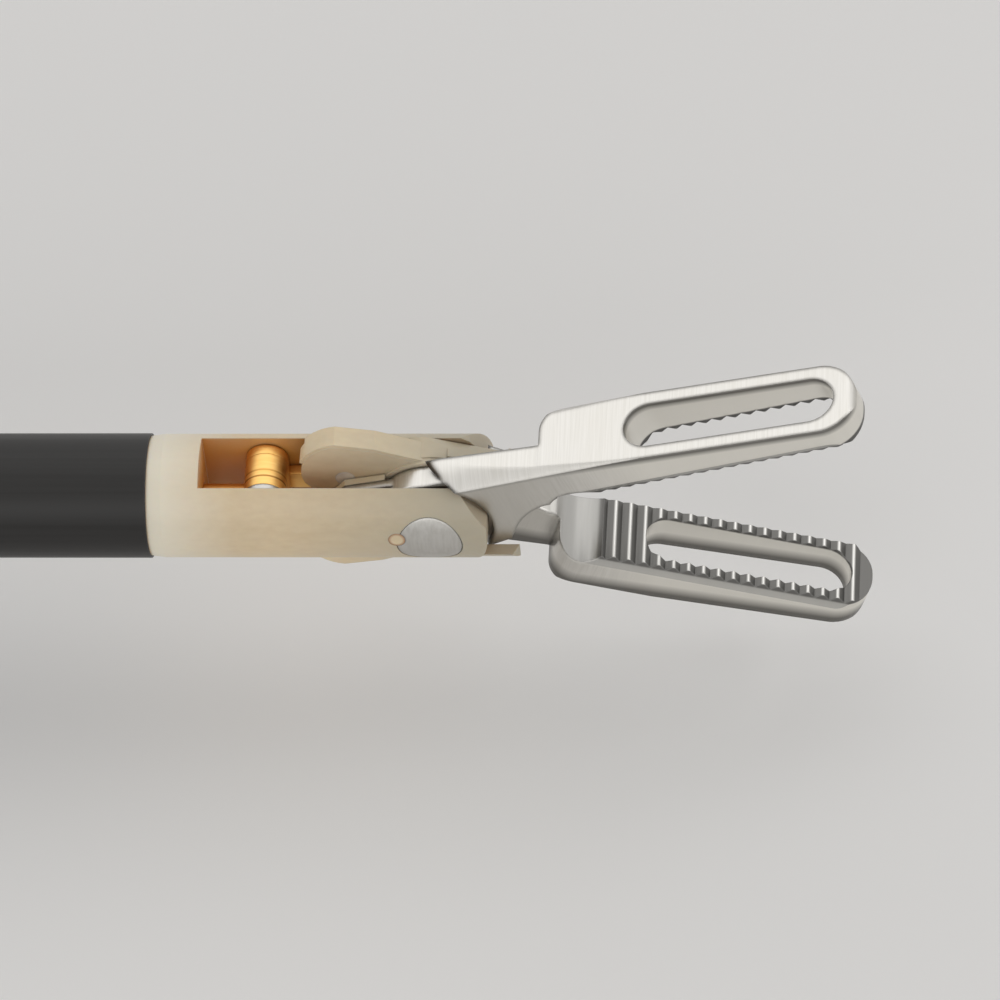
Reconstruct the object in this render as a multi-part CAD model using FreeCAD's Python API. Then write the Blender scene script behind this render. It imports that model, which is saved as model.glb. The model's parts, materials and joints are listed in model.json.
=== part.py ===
import FreeCAD, Part
import math
import os

V = FreeCAD.Vector

# A 5 mm laparoscopic grasper with double-action fenestrated jaws, lying on its side.
# The shaft runs along +X, the jaws open in the XZ plane and the handle lies in the XY plane.
# The origin is on the shaft axis, at the front face of the rotation wheel's nose.

# Overall sizes
working_length = 330.0        # wheel nose to the closed jaw tips
shaft_radius = 2.5            # outside of the insulated shaft
jaw_reach = 18.25             # pivot to jaw tip
pivot_x = working_length - jaw_reach

# Jaw travel, each jaw from the shaft axis
jaw_open_angle = 30.0
jaw_rest_angle = 17.25

# Clearances
run_gap = 0.03                # bore over a pin that turns
seat_gap = 0.02               # piece in the bore that holds it
side_gap = 0.06               # flat faces that pass each other
tooth_gap = 0.03              # half of the gap between closed tooth faces

# Jaw head
head_start = 5.3
head_half_width = 1.62
jaw_profile_radius = 2.45     # closed jaws pass through a 5 mm sleeve
root_height = 2.1
tip_height = 1.3
tip_corner = 1.5
root_corner = 1.1
tip_edge = 0.45
grip_half_width = 1.35
grip_chamfer_height = 0.45

# Jaw teeth, window and relief
tooth_start = 6.9
tooth_pitch = 0.62
tooth_half_depth = 0.1
tip_flat = 0.3
window_start = 8.8
window_end = 17.4
window_half_width = 1.05
relief_x = 6.05
relief_radius = 1.3
relief_drop = 0.85

# Jaw hub and neck
hub_radius = 2.15
lower_hub_radius = 1.9        # smaller, because the insulating cover wraps it
hub_inner = 0.2
hub_outer = 1.19
neck_lap = 0.2                # neck runs this far into the head
neck_back_radius = 2.52       # wide neck turns just clear of the fork's front edge
neck_front_x = 4.8            # lower outline of the wide neck, from the head back to its foot
neck_bend_x = 3.85
neck_bend_z = -0.42
neck_toe_x = 3.15
neck_toe_z = -1.2
neck_foot_x = 2.85
neck_foot_z = -1.6
neck_sole_x = 1.7
neck_sole_z = -1.82
knee_outer_x = 3.57
knee_outer_z = -0.56
knee_inner_x = 3.04
knee_inner_z = -1.43
neck_heel_x = 1.55

# Jaw lever behind the pivot, and its insulating cover
lever_inner = 0.38
lever_outer = 0.72
lever_shoulder_x = -2.96
lever_shoulder_z = 2.11
lever_back_x = -5.1
lever_back_z = 0.66
lever_end_x = -5.45
lever_end_z = -0.45
lever_foot_x = -4.5
lever_foot_z = -1.9
lever_heel_z = -2.1
cover_inner_lower = -0.02     # inner face of the lower jaw's cover
cover_inner_upper = -0.08     # inner face of the upper jaw's cover
cover_outer = 0.36
cover_rim = 0.15
cover_rim_start = 0.5
cover_cap_start = 0.9         # below this the cover also wraps the lever's outer face
cover_cap_outer = 0.95
cover_ring_radius = 2.35
cover_front_x = 3.9
cover_front_z = -0.75
cover_step_x = 2.6
washer_half = 0.14
washer_radius = 2.3
rivet_x = -3.62
rivet_z = -0.1
rivet_head = 0.4
rivet_shank = 0.19
rivet_sink = 0.14

# Pivot pin and its dowel
pin_radius = 1.3
pin_crown_radius = 2.47
dowel_radius = 0.34
dowel_x = -1.3
dowel_z = 0.3
dowel_bottom = 1.45

# Clevis
clevis_radius = 2.48
clevis_rear = -11.3
collar_radius = 2.4           # where the clevis meets the black sleeve
collar_length = 0.6
slot_rear = -9.2
slot_half_width = 1.25
fork_front = 2.3
fork_slant_x = 1.12
fork_slant_z = 2.2
fork_knee_z = 0.85
fork_bend_x = 1.9
fork_bend_z = -1.3
fork_foot_x = 0.9
fork_lap = 0.5
fork_pocket_radius = 2.44     # inside of the wall makes room for the closed jaw's neck
fork_pocket_depth = 1.68
tongue_rear = 0.6
tongue_front = 3.5
tongue_nose = 3.2
tongue_nose_width = 2.3
tongue_top = -1.0
tongue_outer_radius = 2.42
spigot_length = 4.7

# Cam pins: distance behind the pivot with the jaws closed and fully open
cam_closed = 4.65
cam_open = 2.9
cam_pin_radius = 0.33
cam_slot_gap = 0.05
cam_pin_inner = 0.41

# Crosshead and drive links
crosshead_lead = 3.0          # crosshead centre behind the cam pins
crosshead_end_radius = 0.85
crosshead_half_height = 0.95
crosshead_half_width = 0.76
link_outer = 1.18
link_half_height = 0.45
crosshead_rivet_radius = 0.28

# Push rod
rod_thin_radius = 0.48
rod_radius = 0.8
rod_cover_radius = 1.15
rod_step = -18.0
rod_cover_front = -18.6
guide_length = 5.0
guide_front = -21.0
guide_spacing = 150.0

# Shaft tube and its black insulation
tube_outer = 2.25
tube_inner = 2.0

# Rotation wheel and hub
wheel_rear = -22.9
wheel_radius = 10.5
wheel_nose_radius = 4.8
wheel_waist_x = -5.0
wheel_waist_radius = 6.4
wheel_shoulder_x = -9.5
wheel_chamfer = 2.2
flute_count = 8
flute_radius = 3.2
flute_centre = 12.3
hub_tube_front = -4.0
hub_tube_rear = -50.0
hub_tube_radius = 3.6
tube_stop_x = -40.0
seal_length = 2.0
seal_radius = 2.0
latch_groove_x = -47.0
latch_groove_half = 0.6
latch_groove_radius = 2.9
clip_x = -28.1
clip_thickness = 1.0
clip_radius = 5.2
clip_groove_radius = 3.2

# Housing shells, split at the plane Z = 0
shell_front = -23.5
shell_rear = -75.0
shell_top = 11.0
shell_bottom = -14.0
shell_half_depth = 8.5
shell_wall = 2.0
shell_edge = 2.4
shell_corner = 5.0
bearing_outer = 5.0
front_rib_rear = -28.0
rear_rib_front = -40.2
rear_rib_rear = -44.0
rib_bottom = -6.4
boss_radius = 2.7
screw_radius = 1.45
screw_hole = 1.5
screw_head_radius = 2.5
screw_head_height = 1.8
screw_sink = 0.2
screw_cross_length = 0.62     # share of the head's radius
screw_cross_half = 0.35
screw_cross_depth = 0.9
screw_places = [(-33.2, 8.0), (-57.0, 8.0), (-70.6, -5.5), (-34.0, -10.2), (-43.0, -10.2)]

# Fixed handle and its finger ring
stem_front = -29.5
stem_rear = -46.5
stem_top = -6.6
stem_half_depth = 6.4
stem_root_width = 8.0
stem_root_depth = 5.6
stem_waist_shift = 0.6
stem_waist_width = 5.4
stem_waist_depth = 4.8
stem_end_width = 7.5
ring_x = -38.0
ring_y = -62.0
ring_bend = 13.0
ring_straight = 8.0
ring_section = 4.2

# Thumb lever and its ring
ball_x = -58.0
ball_arm = 5.6                # lever pivot below the rod's ball
ball_radius = 2.0
ball_gap = 0.1
lever_head_half = 3.6
lever_head_top = 2.5
lever_half_depth = 4.0
lever_hub_radius = 4.8
bush_outer = 2.4
pivot_screw_radius = 1.6
thumb_x = -97.0
thumb_y = -62.0
thumb_bend = 14.5
thumb_section = 4.0
arm_width = 4.6
arm_depth = 3.8
arm_root = (-1.2, -1.5)       # first section of the arm, from the lever's pivot
arm_second = (-6.5, -15.5)
arm_third = (-15.5, -27.5)
arm_root_width = 4.2
arm_end_width = 6.6
arm_root_tilt = -8.0
ring_blend = 0.86             # depth of an arm where it meets its ring, as a share of the ring's section
lever_slot_behind = 14.0      # opening in the shell's floor, behind and in front of the pivot
lever_slot_ahead = 8.0
lever_slot_half_depth = 5.0
lever_room_behind = 8.0
lever_room_ahead = 7.0
lever_room_above = 5.0
lever_side_gap = 0.3

# Release button, latch and spring
button_half_length = 4.0
button_half_depth = 4.0
button_bottom = 11.2
button_top = 14.2
button_gap = 0.25
button_stem_radius = 1.3
latch_top = 6.9
latch_bottom = -6.2
latch_half_width = 5.0
latch_half_thickness = 0.45
latch_window_top = 6.1
latch_window_half = 3.8
latch_hook_radius = 3.05
ledge_bottom = 7.2
ledge_top = 7.8
spring_radius = 2.1
spring_wire = 0.2
spring_turns = 3.0

# Electrical connector
connector_front = -66.5
connector_rear = -80.0
connector_bottom = 1.5
connector_top = 8.5
connector_half_depth = 6.0
contact_y = 5.0
contact_half_spacing = 3.2
contact_radius = 1.2
contact_shank_radius = 1.0
contact_step = 0.2            # gap between the block and the pin's full radius
contact_length = 10.0
contact_round = 0.5
strip_thickness = 0.4
strip_half_width = 1.0
brush_x = -52.2
hub_brush_gap = 0.3


# Values that follow from the driving dimensions
cam_rate = (cam_closed - cam_open) / math.radians(jaw_open_angle)
cam_rest = cam_closed - cam_rate * math.radians(jaw_rest_angle)
crosshead_x = pivot_x - cam_rest - crosshead_lead
lever_pivot_y = -ball_arm


# Helpers
def box(x0, x1, y0, y1, z0, z1):
    return Part.makeBox(x1 - x0, y1 - y0, z1 - z0, V(x0, y0, z0))


def rod_x(radius, x0, x1, y=0.0, z=0.0):
    return Part.makeCylinder(radius, x1 - x0, V(x0, y, z), V(1, 0, 0))


def rod_y(radius, y0, y1, x, z=0.0):
    return Part.makeCylinder(radius, y1 - y0, V(x, y0, z), V(0, 1, 0))


def rod_z(radius, z0, z1, x, y):
    return Part.makeCylinder(radius, z1 - z0, V(x, y, z0), V(0, 0, 1))


def tube_x(inner, outer, x0, x1):
    return rod_x(outer, x0, x1).cut(rod_x(inner, x0, x1))


def plate_xz(points, y0, y1):
    """Straight-sided outline in X and Z, from y0 to y1."""
    corners = [V(x, y0, z) for x, z in points]
    face = Part.Face(Part.makePolygon(corners + corners[:1]))
    return face.extrude(V(0, y1 - y0, 0))


def plate_xy(points, z0, z1):
    corners = [V(x, y, z0) for x, y in points]
    face = Part.Face(Part.makePolygon(corners + corners[:1]))
    return face.extrude(V(0, 0, z1 - z0))


def plate_yz(points, x0, x1):
    corners = [V(x0, y, z) for y, z in points]
    face = Part.Face(Part.makePolygon(corners + corners[:1]))
    return face.extrude(V(x1 - x0, 0, 0))


def solid_of(edges, direction):
    """Solid from a closed chain of edges, pushed along a direction."""
    wire = Part.Wire(Part.__sortEdges__(edges))
    return Part.Face(wire).extrude(direction)


def rounded_wire(points, radius, z):
    """Closed outline in X and Y whose corners are arcs of one radius."""
    edges = []
    count = len(points)
    tangents = []
    for i in range(count):
        corner = V(points[i][0], points[i][1], z)
        before = V(points[i - 1][0], points[i - 1][1], z) - corner
        after = V(points[(i + 1) % count][0], points[(i + 1) % count][1], z) - corner
        half = before.getAngle(after) / 2
        reach = radius / math.tan(half)
        start = corner + before.normalize() * reach
        end = corner + after.normalize() * reach
        middle_way = (before + after).normalize()
        middle = corner + middle_way * (radius / math.sin(half) - radius)
        edges.append(Part.Arc(start, middle, end).toShape())
        tangents.append((start, end))
    for i in range(count):
        end = tangents[i][1]
        start = tangents[(i + 1) % count][0]
        if (start - end).Length > 1e-6:
            edges.append(Part.makeLine(end, start))
    return Part.Wire(Part.__sortEdges__(edges))


def turned_over(shape):
    """The same shape turned half a turn about the shaft axis."""
    turned = shape.copy()
    turned.rotate(V(0, 0, 0), V(1, 0, 0), 180)
    return turned


def at_pivot(shape, opening):
    """A jaw piece moved from its own frame to the pivot and opened by an angle."""
    moved = shape.copy()
    moved.rotate(V(0, 0, 0), V(0, 1, 0), opening)
    moved.translate(V(pivot_x, 0, 0))
    return moved


# Jaws, modelled closed with the pivot at the origin, as the upper jaw
def outer_height(x):
    slope = (root_height - tip_height) / (jaw_reach - head_start)
    return root_height - slope * (x - head_start)


def tooth_line(first):
    """Points of the gripping edge, from the tip back to the neck."""
    half_pitch = tooth_pitch / 2
    count = int((jaw_reach - tip_flat - tooth_start) / half_pitch)
    points = [(head_start, tooth_gap)]
    for i in range(count + 1):
        side = first if i % 2 == 0 else -first
        points.append((tooth_start + i * half_pitch, tooth_gap + side * tooth_half_depth))
    points.append((jaw_reach, tooth_gap))
    return points


def jaw_head(first):
    """Head from its side outline, its outline from above and its cross-section."""
    grip = tooth_line(first)
    corners = [V(x, -head_half_width, z) for x, z in grip]
    tip_low = V(jaw_reach, -head_half_width, tip_height - tip_edge)
    tip_mid = V(jaw_reach - tip_edge * 0.29, -head_half_width, tip_height - tip_edge * 0.29)
    tip_top = V(jaw_reach - tip_edge, -head_half_width, outer_height(jaw_reach - tip_edge))
    root = V(head_start, -head_half_width, root_height)
    edges = [Part.makeLine(a, b) for a, b in zip(corners, corners[1:])]
    edges.append(Part.makeLine(corners[-1], tip_low))
    edges.append(Part.Arc(tip_low, tip_mid, tip_top).toShape())
    edges.append(Part.makeLine(tip_top, root))
    edges.append(Part.makeLine(root, corners[0]))
    side = solid_of(edges, V(0, 2 * head_half_width, 0))
    plan = plan_prism()
    wide = head_half_width
    floor = -2 * tooth_half_depth
    section = plate_yz([(-grip_half_width, floor), (grip_half_width, floor), (wide, grip_chamfer_height),
                        (wide, root_height), (-wide, root_height), (-wide, grip_chamfer_height)],
                       head_start, jaw_reach)
    return side.common(plan).common(section)


def plan_prism():
    """Head seen from above: straight sides, a rounded tip and a rounded free corner at the root."""
    wide = head_half_width
    back = head_start
    bend = jaw_reach - tip_corner
    inset = tip_corner * (1 - math.sqrt(0.5))
    z = -1.0
    rear_right = V(back, -wide, z)
    side_right = V(bend, -wide, z)
    tip_right = V(jaw_reach, -wide + tip_corner, z)
    tip_left = V(jaw_reach, wide - tip_corner, z)
    side_left = V(bend, wide, z)
    near_root = V(back + root_corner, wide, z)
    root_left = V(back, wide - root_corner, z)
    root_inset = root_corner * (1 - math.sqrt(0.5))
    edges = [Part.makeLine(rear_right, side_right),
             Part.Arc(side_right, V(jaw_reach - inset, -wide + inset, z), tip_right).toShape(),
             Part.makeLine(tip_right, tip_left),
             Part.Arc(tip_left, V(jaw_reach - inset, wide - inset, z), side_left).toShape(),
             Part.makeLine(side_left, near_root),
             Part.Arc(near_root, V(back + root_inset, wide - root_inset, z), root_left).toShape(),
             Part.makeLine(root_left, rear_right)]
    return solid_of(edges, V(0, 0, root_height + 2.0))


def window_cutter():
    start = window_start + window_half_width
    end = window_end - window_half_width
    low = -1.0
    high = root_height + 1.0
    cutter = box(start, end, -window_half_width, window_half_width, low, high)
    cutter = cutter.fuse(rod_z(window_half_width, low, high, start, 0))
    return cutter.fuse(rod_z(window_half_width, low, high, end, 0))


def jaw_neck(hub_size):
    """Neck on the near side: full width in front of the fork, thinner between its walls."""
    reach_in = head_start + neck_lap
    top = jaw_profile_radius + 0.1
    y = -head_half_width
    front = V(neck_front_x, y, tooth_gap)
    toe = V(neck_toe_x, y, neck_toe_z)
    outline = [toe, V(neck_foot_x, y, neck_foot_z), V(neck_sole_x, y, neck_sole_z), V(0, y, 0), V(0, y, top),
               V(head_start - neck_lap, y, root_height), V(reach_in, y, outer_height(reach_in)),
               V(reach_in, y, tooth_gap), front]
    edges = [Part.makeLine(a, b) for a, b in zip(outline, outline[1:])]
    edges.append(Part.Arc(front, V(neck_bend_x, y, neck_bend_z), toe).toShape())
    wide = solid_of(edges, V(0, head_half_width - hub_inner, 0))
    wide = wide.cut(rod_y(neck_back_radius, -head_half_width - 1, 0, 0))
    thin = plate_xz([(0, -hub_size), (neck_heel_x, -hub_size), (knee_inner_x, knee_inner_z),
                     (knee_outer_x, knee_outer_z), (knee_outer_x, root_height), (0, root_height)],
                    -hub_outer, -hub_inner)
    return wide.fuse(thin).fuse(rod_y(hub_size, -hub_outer, -hub_inner, 0))


def lever_outline(y):
    """Edges of the lever behind the pivot, from the hub's top to its bottom."""
    hub_top = V(0, y, lower_hub_radius)
    shoulder = V(lever_shoulder_x, y, lever_shoulder_z)
    back = V(lever_back_x, y, lever_back_z)
    end = V(lever_end_x, y, lever_end_z)
    foot = V(lever_foot_x, y, lever_foot_z)
    heel = V(lever_shoulder_x, y, lever_heel_z)
    hub_bottom = V(0, y, -lower_hub_radius)
    return [Part.makeLine(hub_top, shoulder), Part.makeLine(shoulder, back),
            Part.Arc(back, end, foot).toShape(), Part.makeLine(foot, heel),
            Part.makeLine(heel, hub_bottom), Part.makeLine(hub_bottom, hub_top)]


def cam_slot(half_width, y0, y1):
    """Curved slot that turns the rod's straight pull into an even turn of the jaw."""
    def on_path(angle):
        radius = cam_closed - cam_rate * math.radians(angle)
        turn = math.radians(angle)
        return V(-radius * math.cos(turn), y0, radius * math.sin(turn))

    start = on_path(0)
    middle = on_path(jaw_open_angle / 2)
    end = on_path(jaw_open_angle)
    centre = Part.Arc(start, middle, end).toShape().Curve.Center

    def beside(point, offset):
        outward = (point - centre).normalize()
        return point + outward * offset

    def beyond(point, neighbour):
        outward = (point - centre).normalize()
        along = outward.cross(V(0, 1, 0))
        if along.dot(neighbour - point) > 0:
            along = along * -1
        return point + along * half_width

    edges = [Part.Arc(beside(start, half_width), beside(middle, half_width), beside(end, half_width)).toShape(),
             Part.Arc(beside(end, half_width), beyond(end, middle), beside(end, -half_width)).toShape(),
             Part.Arc(beside(end, -half_width), beside(middle, -half_width), beside(start, -half_width)).toShape(),
             Part.Arc(beside(start, -half_width), beyond(start, middle), beside(start, half_width)).toShape()]
    return solid_of(edges, V(0, y1 - y0, 0))


def jaw(first, hub_size):
    """One steel jaw: serrated fenestrated head, neck, hub and slotted lever."""
    body = jaw_head(first).fuse(jaw_neck(hub_size))
    body = body.common(rod_x(jaw_profile_radius, -hub_size, jaw_reach + 1))
    lever = solid_of(lever_outline(-lever_outer), V(0, lever_outer - lever_inner, 0))
    slot = cam_slot(cam_pin_radius + cam_slot_gap, -lever_outer - 1, -lever_inner + 1)
    body = body.fuse(lever.cut(slot))
    body = body.cut(window_cutter())
    body = body.cut(rod_y(relief_radius, -head_half_width - 1, head_half_width + 1, relief_x, -relief_drop))
    body = body.cut(rod_y(pin_radius + run_gap, -hub_outer - 1, 0, 0))
    body = body.cut(rod_y(rivet_shank, -lever_outer - 1, 0, rivet_x, rivet_z))
    return body.removeSplitter()


def lever_cover(inner, hub_hole):
    """Insulating cover of a lever: its inner face, its outer edge and a cap on its outer face."""
    far = lever_end_x - 1
    face = solid_of(lever_outline(-cover_outer), V(0, cover_outer + inner, 0))
    outer_wire = Part.Wire(Part.__sortEdges__(lever_outline(-cover_cap_outer)))
    grown = Part.Face(outer_wire.makeOffset2D(cover_rim)).extrude(V(0, cover_cap_outer + inner, 0))
    core = solid_of(lever_outline(-lever_outer), V(0, lever_outer - cover_outer, 0))
    rim_room = box(far, 0, -lever_outer, 0, -jaw_profile_radius, -cover_rim_start)
    cap_room = box(far, 0, -cover_cap_outer, 0, -jaw_profile_radius, -cover_cap_start)
    wrap = grown.common(rim_room.fuse(cap_room)).cut(core)
    cover = face.fuse(wrap.common(rod_x(jaw_profile_radius, far, 1)))
    cover = cover.cut(rod_y(hub_hole, -lever_outer - 1, 1, 0))
    return cover.cut(box(0, 1, -lever_outer - 1, 1, -hub_radius - 1, hub_radius + 1))


def hub_cover():
    """Part of the lower jaw's cover that wraps its hub and fills the space before its neck."""
    gap = seat_gap
    ring = rod_y(cover_ring_radius, -hub_outer, -washer_half, 0)
    ring = ring.common(box(-cover_ring_radius, cover_ring_radius, -hub_outer, 0, -cover_ring_radius, 0))
    under = -jaw_profile_radius
    block = plate_xz([(0, -lower_hub_radius), (neck_heel_x, -lower_hub_radius),
                      (knee_inner_x, knee_inner_z), (knee_outer_x, cover_front_z),
                      (cover_front_x, cover_front_z), (cover_front_x, under), (0, under)],
                     -head_half_width, -hub_inner)
    sides = box(-1, cover_step_x, -head_half_width - 1, -hub_outer, under - 1, 1)
    cover = ring.fuse(block.cut(sides)).common(rod_x(jaw_profile_radius, -hub_radius * 2, cover_front_x))
    steel = jaw_neck(lower_hub_radius + gap)
    shifted = steel.copy()
    shifted.translate(V(gap, 0, -gap))
    core = rod_y(lower_hub_radius + gap, -hub_outer - 1, -hub_inner + gap, 0)
    lever = solid_of(lever_outline(-lever_outer), V(0, lever_outer - lever_inner, 0))
    return cover.cut(steel).cut(shifted).cut(core).cut(lever)


def rivet(inner):
    head = rod_y(rivet_head, -rivet_sink + inner, inner, rivet_x, rivet_z)
    return head.fuse(rod_y(rivet_shank, -lever_outer, inner, rivet_x, rivet_z)).removeSplitter()


def jaw_nodes():
    rivet_upper = rivet(cover_inner_upper)
    cover_upper = lever_cover(cover_inner_upper, washer_radius + side_gap).cut(rivet_upper)
    washer = rod_y(washer_radius, -washer_half, washer_half, 0)
    cover_lower = lever_cover(-cover_inner_lower, lower_hub_radius + side_gap).fuse(washer).fuse(hub_cover())
    cover_lower = cover_lower.cut(rod_y(pin_radius + run_gap, -1, 1, 0))
    rivet_lower = rivet(-cover_inner_lower)
    cover_lower = cover_lower.cut(rivet_lower).removeSplitter()
    return {
        "jaw_upper": at_pivot(jaw(1, hub_radius), -jaw_rest_angle),
        "upper_lever_cover": at_pivot(cover_upper.removeSplitter(), -jaw_rest_angle),
        "upper_lever_rivet": at_pivot(rivet_upper, -jaw_rest_angle),
        "jaw_lower": at_pivot(turned_over(jaw(-1, lower_hub_radius)), jaw_rest_angle),
        "lower_lever_cover": at_pivot(turned_over(cover_lower), jaw_rest_angle),
        "lower_lever_rivet": at_pivot(turned_over(rivet_lower), jaw_rest_angle),
    }


# Clevis, pivot pin and dowel
def fork_wall():
    """Near wall of the fork, slanted above for the opening jaw and rounded below."""
    beyond = clevis_radius + 0.1
    y = -clevis_radius
    slope = (fork_front - fork_slant_x) / (fork_slant_z - fork_knee_z)
    top_x = fork_slant_x - slope * (beyond - fork_slant_z)
    start = slot_rear - fork_lap
    waist = V(fork_front, y, 0)
    foot = V(fork_foot_x, y, -beyond)
    outline = [foot, V(start, y, -beyond), V(start, y, beyond), V(top_x, y, beyond),
               V(fork_front, y, fork_knee_z), waist]
    edges = [Part.makeLine(a, b) for a, b in zip(outline, outline[1:])]
    edges.append(Part.Arc(waist, V(fork_bend_x, y, fork_bend_z), foot).toShape())
    wall = solid_of(edges, V(0, clevis_radius - slot_half_width, 0))
    pocket = box(fork_lap, fork_front + 1, -fork_pocket_depth, 0, -beyond, 0)
    pocket = pocket.cut(rod_y(fork_pocket_radius, -fork_pocket_depth - 1, 1, 0))
    return wall.cut(pocket).common(rod_x(clevis_radius, slot_rear - 1, fork_front + 1))


def fork_tongue():
    """Tongue that reaches out of the near wall's lower half, tapered at its nose."""
    beyond = clevis_radius + 0.1
    tongue = plate_xy([(tongue_rear, -fork_pocket_depth), (tongue_front, -fork_pocket_depth),
                       (tongue_nose, -tongue_nose_width), (tongue_nose, -beyond), (tongue_rear, -beyond)],
                      -beyond, tongue_top)
    return tongue.common(rod_x(tongue_outer_radius, 0, tongue_front + 1))


def dowel_blank():
    return rod_y(dowel_radius, -shaft_radius, -dowel_bottom, dowel_x, dowel_z)


def clevis():
    base = rod_x(clevis_radius, clevis_rear + collar_length, slot_rear)
    collar = Part.makeCone(collar_radius, clevis_radius, collar_length, V(clevis_rear, 0, 0), V(1, 0, 0))
    spigot = rod_x(tube_inner - seat_gap, clevis_rear - spigot_length, clevis_rear)
    body = base.fuse(collar).fuse(spigot).fuse(fork_wall()).fuse(fork_tongue()).fuse(turned_over(fork_wall()))
    body = body.cut(rod_x(rod_thin_radius + side_gap, clevis_rear - spigot_length - 1, slot_rear + 1))
    body = body.cut(rod_y(pin_radius + seat_gap, -shaft_radius - 1, shaft_radius + 1, 0))
    body = body.cut(dowel_blank()).removeSplitter()
    body.translate(V(pivot_x, 0, 0))
    return body


def pivot_pin():
    pin = rod_y(pin_radius, -shaft_radius, shaft_radius, 0)
    pin = pin.common(rod_x(pin_crown_radius, -2, 2)).cut(dowel_blank())
    pin.translate(V(pivot_x, 0, 0))
    return pin


def pivot_dowel():
    dowel = dowel_blank().common(rod_x(pin_crown_radius, -2, 2))
    dowel.translate(V(pivot_x, 0, 0))
    return dowel


# Drive: push rod, crosshead, links and cam pins
def barrel_outline(y0, y1):
    """Tall barrel with round ends, across the shaft axis."""
    shape = box(-crosshead_end_radius, crosshead_end_radius, y0, y1, -crosshead_half_height,
                crosshead_half_height)
    shape = shape.fuse(rod_y(crosshead_end_radius, y0, y1, 0, crosshead_half_height))
    return shape.fuse(rod_y(crosshead_end_radius, y0, y1, 0, -crosshead_half_height))


def rivet_holes(y0, y1):
    upper = rod_y(crosshead_rivet_radius, y0, y1, 0, crosshead_half_height)
    return upper.fuse(rod_y(crosshead_rivet_radius, y0, y1, 0, -crosshead_half_height))


def crosshead():
    block = barrel_outline(-crosshead_half_width, crosshead_half_width)
    block = block.cut(rivet_holes(-crosshead_half_width - 1, crosshead_half_width + 1))
    block = block.cut(rod_x(rod_thin_radius, -crosshead_end_radius - 1, crosshead_end_radius / 2))
    block = block.removeSplitter()
    block.translate(V(crosshead_x, 0, 0))
    return block


def drive_link():
    """Near link: riveted to the crosshead and carrying one cam pin at its front."""
    plate = barrel_outline(-link_outer, -crosshead_half_width)
    arm = box(0, crosshead_lead, -link_outer, -crosshead_half_width, -link_half_height, link_half_height)
    eye = rod_y(link_half_height, -link_outer, -crosshead_half_width, crosshead_lead)
    plate = plate.fuse(arm).fuse(eye)
    plate = plate.cut(rivet_holes(-link_outer - 1, 0))
    plate = plate.cut(rod_y(cam_pin_radius, -link_outer - 1, 0, crosshead_lead)).removeSplitter()
    plate.translate(V(crosshead_x, 0, 0))
    return plate


def cam_pins():
    pin = rod_y(cam_pin_radius, -link_outer, -cam_pin_inner, pivot_x - cam_rest)
    return Part.makeCompound([pin, turned_over(pin)])


def crosshead_rivets():
    ends = [crosshead_half_height, -crosshead_half_height]
    solids = [rod_y(crosshead_rivet_radius, -link_outer, link_outer, crosshead_x, z) for z in ends]
    return Part.makeCompound(solids)


def push_rod():
    thin = rod_x(rod_thin_radius, pivot_x + rod_step, crosshead_x + crosshead_end_radius / 2)
    return rod_x(rod_radius, ball_x, pivot_x + rod_step).fuse(thin).removeSplitter()


def rod_cover_rear():
    return hub_tube_rear - 0.6


def rod_guides():
    front = pivot_x + guide_front
    solids = []
    for i in range(2):
        end = front - i * guide_spacing
        solids.append(tube_x(rod_cover_radius + run_gap, tube_inner - seat_gap, end - guide_length, end))
    return Part.makeCompound(solids)


# Shaft, wheel and hub
def rotation_wheel():
    rear = V(wheel_rear, 0, 0)
    front = V(0, 0, 0)
    nose = V(0, wheel_nose_radius, 0)
    edges = [Part.makeLine(front, nose),
             Part.Arc(nose, V(wheel_waist_x, wheel_waist_radius, 0),
                      V(wheel_shoulder_x, wheel_radius, 0)).toShape(),
             Part.makeLine(V(wheel_shoulder_x, wheel_radius, 0),
                           V(wheel_rear + wheel_chamfer, wheel_radius, 0)),
             Part.makeLine(V(wheel_rear + wheel_chamfer, wheel_radius, 0),
                           V(wheel_rear, wheel_radius - wheel_chamfer, 0)),
             Part.makeLine(V(wheel_rear, wheel_radius - wheel_chamfer, 0), rear),
             Part.makeLine(rear, front)]
    wheel = Part.Face(Part.Wire(edges)).revolve(V(0, 0, 0), V(1, 0, 0), 360)
    for i in range(flute_count):
        turn = math.radians(360 * i / flute_count)
        wheel = wheel.cut(rod_x(flute_radius, wheel_rear - 1, 1, flute_centre * math.cos(turn),
                                flute_centre * math.sin(turn)))
    wheel = wheel.cut(rod_x(tube_outer + seat_gap, hub_tube_front - 1, 1))
    return wheel.cut(rod_x(hub_tube_radius, wheel_rear - 1, hub_tube_front))


def sheath_hub():
    hub = rod_x(hub_tube_radius, hub_tube_rear, hub_tube_front)
    groove = tube_x(latch_groove_radius, hub_tube_radius + 1, latch_groove_x - latch_groove_half,
                    latch_groove_x + latch_groove_half)
    clip_groove = tube_x(clip_groove_radius, hub_tube_radius + 1, clip_x - clip_thickness, clip_x)
    hub = hub.cut(groove).cut(clip_groove)
    hub = hub.cut(rod_x(tube_outer + seat_gap, tube_stop_x, hub_tube_front + 1))
    hub = hub.cut(rod_x(seal_radius, tube_stop_x - seal_length, tube_stop_x))
    return hub.cut(rod_x(rod_cover_radius + 0.15, hub_tube_rear - 1, tube_stop_x))


def retaining_clip():
    """Open clip in the hub's groove, behind the front bearing."""
    ring = tube_x(clip_groove_radius, clip_radius, clip_x - clip_thickness, clip_x)
    mouth = box(clip_x - clip_thickness - 1, clip_x + 1, 0, clip_radius + 1, -2.0, 2.0)
    return ring.cut(mouth)


def bearing(x0, x1):
    return tube_x(hub_tube_radius + run_gap, bearing_outer, x0, x1)


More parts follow.
